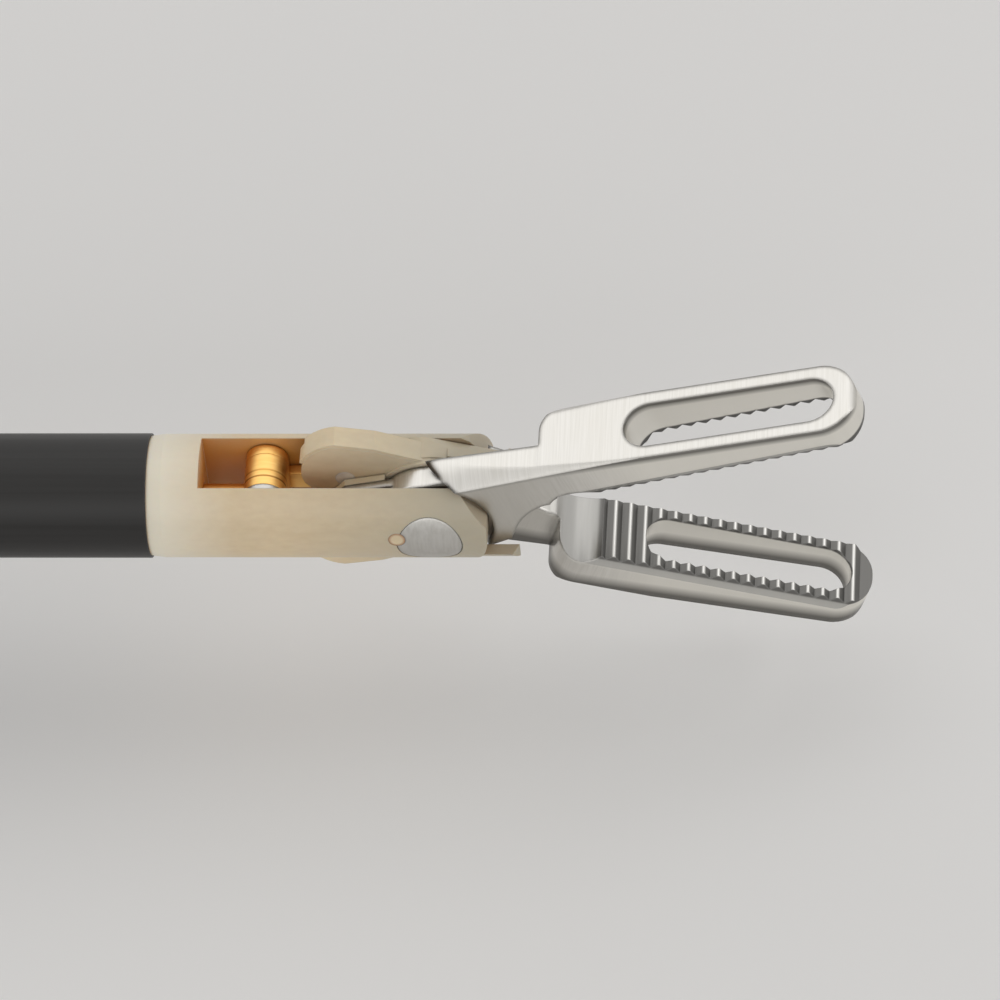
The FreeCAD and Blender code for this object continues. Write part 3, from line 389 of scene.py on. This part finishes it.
def finish(name, light, dark, deep, edge, metallic, roughness, stretch, bump, turn=0.0,
           reach=0.002, edge_radius=0.00006, edge_gain=6.0, cloud=None, extra=None):
    """A finish from its light and dark grain colours, its painted shade in hollows and its edge
    colour.

    roughness is its lowest and highest value, bump its strength and depth, and cloud a wide
    stain: its stretch, its share and its colour.
    """
    material, tree, shader = new_material(name)
    links = tree.links
    fine = add_group(tree, GRAIN, Stretch=stretch, Turn=(0.0, turn, 0.0)).outputs["Value"]
    rim = add_group(tree, EDGE, Radius=edge_radius, Gain=edge_gain)
    open_air = add_group(tree, HOLLOW, Reach=reach)
    colour = blend_colour(tree, ramp(tree, fine, *grain_spread), dark, light)
    if cloud:
        cloud_stretch, cloud_share, cloud_colour = cloud
        wide = add_group(tree, GRAIN, Stretch=cloud_stretch, Turn=(0.0, turn, 0.0),
                         Detail=cloud_detail)
        share = ramp(tree, wide.outputs["Value"], *grain_spread, 0.0, cloud_share)
        colour = blend_colour(tree, share, colour, cloud_colour)
    # painted shade: the deep colour where the surface lies in a hollow
    colour = blend_colour(tree, open_air.outputs["Open"], deep, colour)
    # the edge colour: painted shade or painted highlight on the metals and the ivory, wear on the
    # moulded polymer
    colour = blend_colour(tree, rim.outputs["Mask"], colour, edge)
    if extra:
        colour = extra(tree, colour, rim, open_air)
    links.new(colour, shader.inputs["Base Color"])
    links.new(ramp(tree, fine, *grain_spread, *roughness), shader.inputs["Roughness"])
    shader.inputs["Metallic"].default_value = metallic
    relief = tree.nodes.new("ShaderNodeBump")
    relief.inputs["Strength"].default_value = bump[0]
    relief.inputs["Distance"].default_value = bump[1]
    links.new(fine, relief.inputs["Height"])
    links.new(rim.outputs["Normal"], relief.inputs["Normal"])
    links.new(relief.outputs["Normal"], shader.inputs["Normal"])
    return material, shader


print("finish builder, grain spread over", grain_spread)

# %% [markdown]
# ## Steel
# The jaws are milled from stainless bar, their windows and teeth are cut, and the outside is
# satin ground. The fine lines run across each jaw, as a belt grinder leaves them, so both jaws
# have one finish turned to their own direction. Tumbling rounds the outer edges, and a soft dark
# line is painted beside them: a painted reflection of the dim side of the room. The side faces are
# painted lighter as light, and darker towards the neck as shade. The grinder never reaches the
# gripping faces; they are painted darker as shade between the jaws, with painted shade in the
# valleys and painted highlights on the ridges. All of this follows the jaw's own frame, measured
# from the pivot, so it stays in place when the jaw turns.

# %% Steel
jaw_tilt = math.radians(17.25)
jaw_start = 5.3 * MM
jaw_length = max((vertex.co - pivot).length for vertex in nodes["jaw_lower"].data.vertices)

# painted shade: the dark colour of the steel's edges and of the line beside the jaws' outer edge,
# standing in for the dim room they reflect
painted_edge_shade = (0.13, 0.125, 0.115)
# painted shade on the jaws' side faces near the neck
neck_shade_colour = (0.47, 0.45, 0.405)
# painted light on the jaws' side faces towards the tip
painted_side_light = (0.84, 0.815, 0.75)
# painted shade on the gripping face between the jaws, and lighter painted shade in the scoop
grip_face_shade = (0.34, 0.335, 0.32)
scoop_shade = (0.50, 0.49, 0.47)
# painted highlight on the ridges of the teeth, painted shade in their valleys
ridge_highlight = (0.80, 0.79, 0.76)
valley_shade = (0.15, 0.147, 0.14)

# each pair says where a shade starts and ends: along the jaw, from the pivot
neck_along = (4.0 * MM, 7.5 * MM)
side_along = (6.0 * MM, 9.5 * MM)
grip_along = (4.6 * MM, 5.6 * MM)
teeth_along = (6.6 * MM, 7.0 * MM)
# off the plane where the jaws meet
grip_height = (0.95 * MM, 1.25 * MM)
scoop_height = (0.15 * MM, 0.9 * MM)
teeth_height = (0.13 * MM, 0.20 * MM)
ridge_height = (-0.062 * MM, -0.01 * MM)
outer_height = (2.1 * MM, 1.3 * MM)     # the jaw's outer edge, at its start and at its tip
# how far a surface faces that plane, from 1 away from it to -1 towards it
grip_facing = (-0.15, -0.45)
flank_facing = (0.35, 0.75)
outer_radius = 0.26 * MM                # rounding of the outer edges and of the teeth
tooth_radius = 0.04 * MM


def jaw_shade(tilt, side, edge_band):
    """Painted light and shade of one jaw: a dark line beside its outer edge, a dark gripping face,
    bright ridges.
    """
    def shade(tree, colour, rim, open_air):
        place = add_group(tree, JAW_FRAME, Turn=(0.0, tilt, 0.0), Side=side).outputs
        along, height, facing = place["Along"], place["Height"], place["Facing"]

        flank = ramp(tree, calculate(tree, "ABSOLUTE", facing), *flank_facing, 1.0, 0.0)
        # painted shade on the side faces near the neck
        neck = product(tree, flank, ramp(tree, along, *neck_along, 0.6, 0.0))
        colour = blend_colour(tree, neck, colour, neck_shade_colour)
        # painted light on the side faces towards the tip
        side_light_share = product(tree, flank, ramp(tree, along, *side_along, 0.0, 0.85))
        colour = blend_colour(tree, side_light_share, colour, painted_side_light)
        outer_edge = ramp(tree, along, jaw_start, jaw_length, *outer_height)
        past_edge = calculate(tree, "SUBTRACT", height, outer_edge)
        # painted shade: a dark line beside the jaw's outer edge
        painted_edge_line = ramp(tree, past_edge, -edge_band, -0.3 * edge_band, 0.0, 0.92)
        colour = blend_colour(tree, product(tree, flank, painted_edge_line), colour, painted_edge_shade)

        # painted shade on the gripping face, darkest near the plane where the jaws meet
        inside = product(tree, ramp(tree, facing, *grip_facing), ramp(tree, along, *grip_along))
        grip = product(tree, inside, ramp(tree, height, *grip_height, 1.0, 0.0))
        scoop = blend_colour(tree, ramp(tree, height, *scoop_height), grip_face_shade, scoop_shade)
        colour = blend_colour(tree, grip, colour, scoop)
        rounding = ramp(tree, grip, 0.0, 1.0, outer_radius, tooth_radius)
        tree.links.new(rounding, rim.inputs["Radius"])
        # painted highlights on the ridges, painted shade in the valleys
        tooth = blend_colour(tree, ramp(tree, height, *ridge_height), ridge_highlight, valley_shade)
        near_teeth = product(tree, ramp(tree, height, *teeth_height, 1.0, 0.0),
                             ramp(tree, along, *teeth_along))
        return blend_colour(tree, near_teeth, colour, tooth)
    return shade


def steel(name, turn, tone=1.0, lines=(16000.0, 400.0, 900.0), extra=None):
    light = (0.70 * tone, 0.685 * tone, 0.655 * tone)
    dark = (0.61 * tone, 0.595 * tone, 0.56 * tone)
    stain = (0.62 * tone, 0.595 * tone, 0.54 * tone)
    # painted shade: the dark colour in hollows and on edges
    return finish(name, light, dark, (0.16, 0.155, 0.145), painted_edge_shade, 1.0, (0.28, 0.38), lines,
                  (0.07, 0.00001), turn=turn, reach=0.0010, edge_radius=0.00012, edge_gain=3.2,
                  cloud=((700.0, 500.0, 700.0), 0.22, stain), extra=extra)[0]


steel_upper = steel("satin_steel_upper", jaw_tilt, extra=jaw_shade(jaw_tilt, 1.0, 0.42 * MM))
steel_lower = steel("satin_steel_lower", -jaw_tilt, extra=jaw_shade(-jaw_tilt, -1.0, 0.85 * MM))
hardware = steel("turned_hardware", 0.0, 0.84, lines=(9000.0, 9000.0, 900.0))
# painted light: a paler, rougher steel for the rivets, lit as if domed, with almost no shade in
# hollows
rivet_steel_painted_light = finish("rivet_steel_painted_light", (0.90, 0.88, 0.83), (0.80, 0.78, 0.73), (0.78, 0.76, 0.70),
                     (0.50, 0.48, 0.44), 0.3, (0.42, 0.58), (3000.0, 3000.0, 3000.0),
                     (0.06, 0.00001), reach=0.0003, edge_radius=0.00008, edge_gain=1.5)[0]
print("jaw length", round(jaw_length / MM, 2), "mm, finishes",
      [material.name for material in (steel_upper, steel_lower, hardware, rivet_steel_painted_light)])

# %% [markdown]
# ## Ivory polymer
# The clevis and the covers of the levers are machined from a hard ivory polymer that lets a
# little light in. Deep in the slot it is painted orange-brown as shade, standing in for light that
# has crossed the material and met the brass. Towards the jaws it is painted greyer as shade, and
# the collar at the sleeve is paler. Its edges are painted paler as highlights, and the covers are
# a lighter copy, painted lighter against the shade of the clevis walls. The small plug beside the
# pivot pin is pressed in, and a brown ring shows where the two meet.

# %% Ivory polymer
shade_grey_along = (-6.0 * MM, 1.0 * MM)      # from the pivot
# painted shade: the ivory turns greyer towards the jaws
shade_grey_colour = (0.41, 0.39, 0.315)
pale_along = (-10.8 * MM, -7.8 * MM)
pale_colour = (0.94, 0.90, 0.77)
plug_ring = (0.62, 0.94)                # where the ring starts and is full, as shares of the radius


def ivory_shade_along(tree, colour, rim, open_air):
    """Painted greyer towards the jaws as shade, and paler at the sleeve."""
    along = add_group(tree, JAW_FRAME).outputs["Along"]
    # painted shade, greyer towards the jaws
    grey = ramp(tree, along, *shade_grey_along, 0.0, 0.75)
    colour = blend_colour(tree, grey, colour, shade_grey_colour)
    collar = product(tree, ramp(tree, along, *pale_along, 0.75, 0.0), open_air.outputs["Open"])
    return blend_colour(tree, collar, colour, pale_colour)


def brown_ring_at_plug(centre, radius):
    """A brown ring where the pressed-in plug meets the clevis, measured across its axis, Y."""
    def shade(tree, colour, rim, open_air):
        flat = tree.nodes.new("ShaderNodeVectorMath")
        flat.operation = "MULTIPLY_ADD"
        flat.inputs[1].default_value = (1.0, 0.0, 1.0)
        flat.inputs[2].default_value = (-centre[0], 0.0, -centre[2])
        size = tree.nodes.new("ShaderNodeVectorMath")
        size.operation = "LENGTH"
        tree.links.new(own_place(tree), flat.inputs[0])
        tree.links.new(flat.outputs["Vector"], size.inputs[0])
        start, end = (radius * share for share in plug_ring)
        near_rim = ramp(tree, size.outputs["Value"], start, end, 0.0, 0.85)
        return blend_colour(tree, near_rim, colour, (0.42, 0.20, 0.10))
    return shade


def ivory(name, edge, deep, reach, gain=1.0, extra=ivory_shade_along):
    light = (0.81 * gain, 0.655 * gain, 0.43 * gain)
    dark = (0.75 * gain, 0.59 * gain, 0.375 * gain)
    material, shader = finish(name, light, dark, deep, edge, 0.0, (0.34, 0.48),
                              (1800.0, 3600.0, 3600.0), (0.08, 0.00001), reach=reach,
                              edge_gain=2.0, extra=extra,
                              cloud=((220.0, 420.0, 420.0), 0.45, (0.72, 0.595, 0.42)))
    shader.inputs["Subsurface Weight"].default_value = 0.15
    shader.inputs["Subsurface Radius"].default_value = (1.0, 0.55, 0.25)
    shader.inputs["Subsurface Scale"].default_value = 0.0005
    return material


plug_corners = [Vector(corner) for corner in nodes["pivot_dowel"].bound_box]
plug_centre = sum(plug_corners, Vector()) / 8.0
plug_radius = (max(c.x for c in plug_corners) - min(c.x for c in plug_corners)) / 2.0
# painted shade: orange-brown deep in the slot; the paler edge colour is a painted highlight
ivory_clevis = ivory("ivory_clevis", (0.92, 0.82, 0.64), (0.62, 0.29, 0.06), 0.0045)
# painted light: the covers are a lighter copy of the ivory, with no shade in hollows, against the
# shade of the clevis walls
ivory_cover_painted_light = ivory("ivory_cover_painted_light", (0.93, 0.82, 0.62), (0.92, 0.76, 0.52), 0.0008, gain=1.18)
ivory_plug = ivory("ivory_plug", (0.50, 0.24, 0.10), (0.55, 0.36, 0.18), 0.0010,
                   extra=brown_ring_at_plug(plug_centre, plug_radius))
print("plug radius", round(plug_radius / MM, 2), "mm, finishes",
      [material.name for material in (ivory_clevis, ivory_cover_painted_light, ivory_plug)])

# %% [markdown]
# ## Sleeve, brass and the inner pieces
# The sleeve is a charcoal tube shrunk over the shaft, with faint bands along it. The crosshead
# is brass, and two darker rings are painted round its near end as the shade in two grooves.
# Bearings, seal, spring and contacts sit inside and hardly show, so they have plain versions of
# the same finish.

# %% Sleeve, brass and the inner pieces
sleeve, sleeve_shader = finish("sleeve_black", (0.029, 0.028, 0.027), (0.020, 0.019, 0.018),
                               (0.02, 0.02, 0.022), (0.07, 0.072, 0.076), 0.0, (0.34, 0.48),
                               (40.0, 2600.0, 2600.0), (0.08, 0.00002))
sleeve_shader.inputs["Specular IOR Level"].default_value = 0.28

# distance from the crosshead's near end, and colour
# painted shade of two grooves round the crosshead
groove_shade_rings = ((0.42 * MM, (0.42, 0.20, 0.05)), (0.72 * MM, (0.62, 0.33, 0.09)))
ring_half_width = 0.06 * MM
ring_core = 0.02 * MM


def groove_shaded(tree, colour, rim, open_air):
    """Two rings of painted groove shade round the crosshead's near end."""
    across = parts_of(tree, own_place(tree))["Y"]
    near_end = min(corner[1] for corner in nodes["crosshead"].bound_box)
    for distance, tone in groove_shade_rings:
        middle = near_end + distance
        rise = ramp(tree, across, middle - ring_half_width, middle - ring_core)
        fall = ramp(tree, across, middle + ring_core, middle + ring_half_width, 1.0, 0.0)
        colour = blend_colour(tree, product(tree, rise, fall), colour, tone)
    return colour


def satin_brass(name, extra=None):
    return finish(name, (0.96, 0.62, 0.22), (0.90, 0.53, 0.16), (0.66, 0.31, 0.06),
                  (0.72, 0.38, 0.08), 1.0, (0.34, 0.44), (900.0, 9000.0, 2500.0),
                  (0.05, 0.00001), reach=0.0005, edge_gain=1.5, extra=extra)[0]


brass = satin_brass("satin_brass")
brass_ringed = satin_brass("satin_brass_grooved", groove_shaded)
gold = finish("gold_contact", (0.92, 0.70, 0.32), (0.80, 0.56, 0.22), (0.45, 0.28, 0.10),
              (1.0, 0.85, 0.5), 1.0, (0.16, 0.26), (500.0, 9000.0, 9000.0), (0.06, 0.00001))[0]
white_polymer = finish("white_bearing", (0.82, 0.82, 0.80), (0.76, 0.76, 0.74), (0.5, 0.5, 0.49),
                       (0.9, 0.9, 0.88), 0.0, (0.35, 0.5), (2500.0, 2500.0, 2500.0),
                       (0.08, 0.00002))[0]
silicone = finish("clear_silicone", (0.70, 0.71, 0.70), (0.62, 0.63, 0.62), (0.42, 0.42, 0.42),
                  (0.8, 0.8, 0.8), 0.0, (0.25, 0.4), (900.0, 900.0, 900.0), (0.05, 0.00002))[0]
spring_wire = finish("spring_wire", (0.72, 0.72, 0.72), (0.58, 0.58, 0.58), (0.3, 0.3, 0.3),
                     (0.9, 0.9, 0.9), 1.0, (0.15, 0.25), (3000.0, 9000.0, 3000.0),
                     (0.05, 0.00001))[0]
print("finishes", [material.name for material in
                   (sleeve, brass, brass_ringed, gold, white_polymer, silicone, spring_wire)])

# %% [markdown]
# ## Moulded polymer
# Housing, handle, wheel, button and connector are injection moulded. Their moulds are spark
# eroded, which leaves a fine even pebble, and handling rubs the edges paler. A faint line round
# the middle of the handle shows where the halves of the mould met. The button has grooves across
# its top so that a wet finger doesn't slip; they are painted as dark lines, the shade in the
# grooves.

# %% Moulded polymer
seam_width = (0.04 * MM, 0.14 * MM)     # distances from the middle where it is full and gone
groove_pitch = 0.9 * MM
groove_width = (0.12 * MM, 0.18 * MM)
top_facing = (0.90, 0.97)


def moulded(name, tone, wear, extra=None):
    """A polymer of one tone, painted darker in hollows as shade, and paler by its wear on the
    edges.
    """
    def shade(share):
        return tuple(c * share for c in tone)
    worn = tuple(min(1.0, c + wear) for c in tone)
    return finish(name, shade(1.12), shade(0.86), shade(0.55), worn, 0.0, (0.42, 0.60),
                  (2400.0, 2400.0, 2400.0), (0.22, 0.00005), reach=0.006, edge_radius=0.0004,
                  edge_gain=2.5, extra=extra, cloud=((60.0, 60.0, 60.0), 0.3, shade(1.25)))[0]


def parting_line(tree, colour, rim, open_air):
    """The line where the two halves of the mould met, round the middle of the handle."""
    from_middle = calculate(tree, "ABSOLUTE", parts_of(tree, own_place(tree))["Z"])
    line = ramp(tree, from_middle, *seam_width, 0.8, 0.0)
    return blend_colour(tree, line, colour, (0.015, 0.015, 0.017))


def button_grooves(tree, colour, rim, open_air):
    """Moulded grooves across the button's top, where the finger pushes, painted as dark lines of
    shade.
    """
    along = parts_of(tree, own_place(tree))["X"]
    facing_up = parts_of(tree, own_place(tree, "Normal"))["Y"]
    from_groove = calculate(tree, "PINGPONG", along, groove_pitch / 2.0)
    groove = ramp(tree, from_groove, *groove_width, 1.0, 0.0)
    top = ramp(tree, facing_up, *top_facing, 0.0, 0.8)
    # painted shade: dark lines where the grooves are
    return blend_colour(tree, product(tree, groove, top), colour, (0.10, 0.105, 0.112))


handle_black = moulded("handle_black", (0.040, 0.042, 0.046), 0.05, parting_line)
wheel_grey = moulded("wheel_grey", (0.072, 0.075, 0.082), 0.06)
connector_grey = moulded("connector_grey", (0.26, 0.27, 0.29), 0.12)
button_grey = moulded("button_grey", (0.30, 0.315, 0.335), 0.12, button_grooves)
pad_grey = moulded("pad_grey", (0.105, 0.110, 0.118), 0.06)
print("moulded finishes", [material.name for material in
                           (handle_black, wheel_grey, connector_grey, button_grey, pad_grey)])

# %% [markdown]
# ## Which piece has which finish
# Each finish is listed with the pieces that have it. The materials are set on the objects, so the
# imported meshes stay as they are.

# %% Set the finishes
pieces_of = {
    steel_upper: ("jaw_upper",),
    steel_lower: ("jaw_lower",),
    rivet_steel_painted_light: ("upper_lever_rivet", "lower_lever_rivet"),
    hardware: ("pivot_pin", "near_drive_link", "cam_pins", "crosshead_rivets", "rod_ball",
               "sheath_tube", "sheath_hub", "housing_screws", "lever_pivot_screw",
               "latch_frame"),
    ivory_clevis: ("clevis",),
    ivory_cover_painted_light: ("upper_lever_cover", "lower_lever_cover"),
    ivory_plug: ("pivot_dowel",),
    brass_ringed: ("crosshead",),
    brass: ("far_drive_link", "push_rod"),
    gold: ("contact_pins", "contact_strips"),
    white_polymer: ("rod_insulation", "rod_guides", "front_bearing", "rear_bearing",
                    "lever_bush"),
    silicone: ("rod_seal",),
    spring_wire: ("retaining_clip", "release_spring"),
    sleeve: ("sheath_insulation",),
    wheel_grey: ("rotation_wheel",),
    handle_black: ("right_shell", "left_shell", "fixed_handle", "thumb_lever"),
    button_grey: ("release_button",),
    connector_grey: ("connector_block",),
}
node_finish = {name: material for material, names in pieces_of.items() for name in names}
for name, node in nodes.items():
    if not node.material_slots:
        node.data.materials.append(None)
    for slot in node.material_slots:
        slot.link = "OBJECT"
        slot.material = node_finish[name]
print("pieces", len(nodes), "with", len(pieces_of), "finishes")

# %% [markdown]
# ## Soft pads in the finger rings
# The insides of the rings carry soft ribbed pads, moulded over the hard polymer, because a smooth
# ring turns on a wet glove. A pad is a band wrapped round the inner side of the ring. It starts as
# a flat grid with eight rows of squares for each rib. The grid is laid along the ring's oval path
# and bent round its section, the two ends are welded, and the sheet is given thickness. Its rims
# dip just under the ring's surface, so no gap shows.

# %% Ring pads
def new_piece(name, shape, material):
    """A smooth-shaded object made from a bmesh, standing at the origin."""
    mesh = bpy.data.meshes.new(name)
    shape.to_mesh(mesh)
    shape.free()
    for polygon in mesh.polygons:
        polygon.use_smooth = True
    mesh.materials.append(material)
    piece = bpy.data.objects.new(name, mesh)
    scene.collection.objects.link(piece)
    return piece


steps_per_rib = 8
steps_across = 14
wrap = math.radians(62.0)       # how far the pad reaches round the ring's section, on each side
rim_dip = 0.15 * MM
pad_height = 0.45 * MM
rib_height = 0.35 * MM
rim_slope = 4.0                 # the pad reaches its height within a quarter of its half width
rib_end = 0.72                  # ribs end at this share of the half width
rib_slope = 6.0
sheet_thickness = 0.3 * MM
weld_distance = 0.01 * MM


def outward_at(angle):
    return Vector((math.cos(angle), math.sin(angle), 0.0))


def oval_path(travel, bend, straight):
    """The centre that a point of the oval goes round, or is level with, and its way out from it."""
    half_round = math.pi * bend
    if travel < half_round:
        return Vector((0.0, straight, 0.0)), outward_at(travel / bend)
    if travel < half_round + 2.0 * straight:
        return Vector((0.0, straight - (travel - half_round), 0.0)), Vector((-1.0, 0.0, 0.0))
    if travel < 2.0 * half_round + 2.0 * straight:
        angle = math.pi + (travel - half_round - 2.0 * straight) / bend
        return Vector((0.0, -straight, 0.0)), outward_at(angle)
    rest = travel - 2.0 * half_round - 2.0 * straight
    return Vector((0.0, -straight + rest, 0.0)), Vector((1.0, 0.0, 0.0))


def ring_pad(name, centre, bend, straight, section, ribs, body):
    """A ribbed band inside a finger ring, whose path is two half circles and two straights."""
    centre = Vector(centre)
    path_length = 2.0 * math.pi * bend + 4.0 * straight
    shape = bmesh.new()
    bmesh.ops.create_grid(shape, x_segments=ribs * steps_per_rib, y_segments=steps_across, size=1.0)
    for vertex in shape.verts:
        travel = (vertex.co.x + 1.0) / 2.0 * path_length
        across = vertex.co.y
        middle, outward = oval_path(travel, bend, straight)
        fade = min(1.0, (1.0 - abs(across)) * rim_slope)
        rib = 0.5 + 0.5 * math.cos(2.0 * math.pi * ribs * travel / path_length)
        rib *= min(1.0, max(0.0, (rib_end - abs(across)) * rib_slope))
        height = section - rim_dip + fade * pad_height + rib * rib_height
        angle = across * wrap
        vertex.co = (centre + middle + outward * (bend - height * math.cos(angle))
                     + Vector((0.0, 0.0, height * math.sin(angle))))
    bmesh.ops.remove_doubles(shape, verts=shape.verts, dist=weld_distance)
    bmesh.ops.recalc_face_normals(shape, faces=shape.faces)
    inner = min(shape.faces, key=lambda face: (face.calc_center_median() - centre).length)
    if inner.normal.dot(centre - inner.calc_center_median()) < 0.0:
        bmesh.ops.reverse_faces(shape, faces=shape.faces[:])
    bmesh.ops.solidify(shape, geom=shape.faces[:], thickness=sheet_thickness)
    bmesh.ops.recalc_face_normals(shape, faces=shape.faces)
    pad = new_piece(name, shape, pad_grey)
    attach(pad, body)
    print(name, len(pad.data.polygons), "faces")


thumb_ring_centre = (-97.0 * MM, -62.0 * MM, 0.0)
finger_ring_centre = (-38.0 * MM, -62.0 * MM, 0.0)
ring_pad("thumb_ring_pad", thumb_ring_centre, 14.5 * MM, 0.0, 4.0 * MM, 26, "lever")
ring_pad("finger_ring_pad", finger_ring_centre, 13.0 * MM, 8.0 * MM, 4.2 * MM, 34, "root")

# %% [markdown]
# ## The release button's spring
# The small coil spring stands on a ledge in the housing and holds the button up. Pressing the
# button by 2 mm leaves it only part of its length, so the spring must shorten. The imported spring
# is rigid. A copy of it, with its doubled points merged so that it shades as round wire, takes
# its place and rides with the button.

# %% Release spring
point_merge = 0.002 * MM


def shortening_spring(name, source):
    """A merged copy of a coil spring, carried with the release button."""
    rigid = nodes[source]
    shape = bmesh.new()
    shape.from_mesh(rigid.data)
    bmesh.ops.remove_doubles(shape, verts=shape.verts, dist=point_merge)
    bmesh.ops.recalc_face_normals(shape, faces=shape.faces)
    coil = new_piece(name, shape, spring_wire)
    coil.data.transform(rigid.matrix_world)
    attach(coil, "release")
    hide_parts(source)
    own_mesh(coil)


shortening_spring("coil_spring", "release_spring")
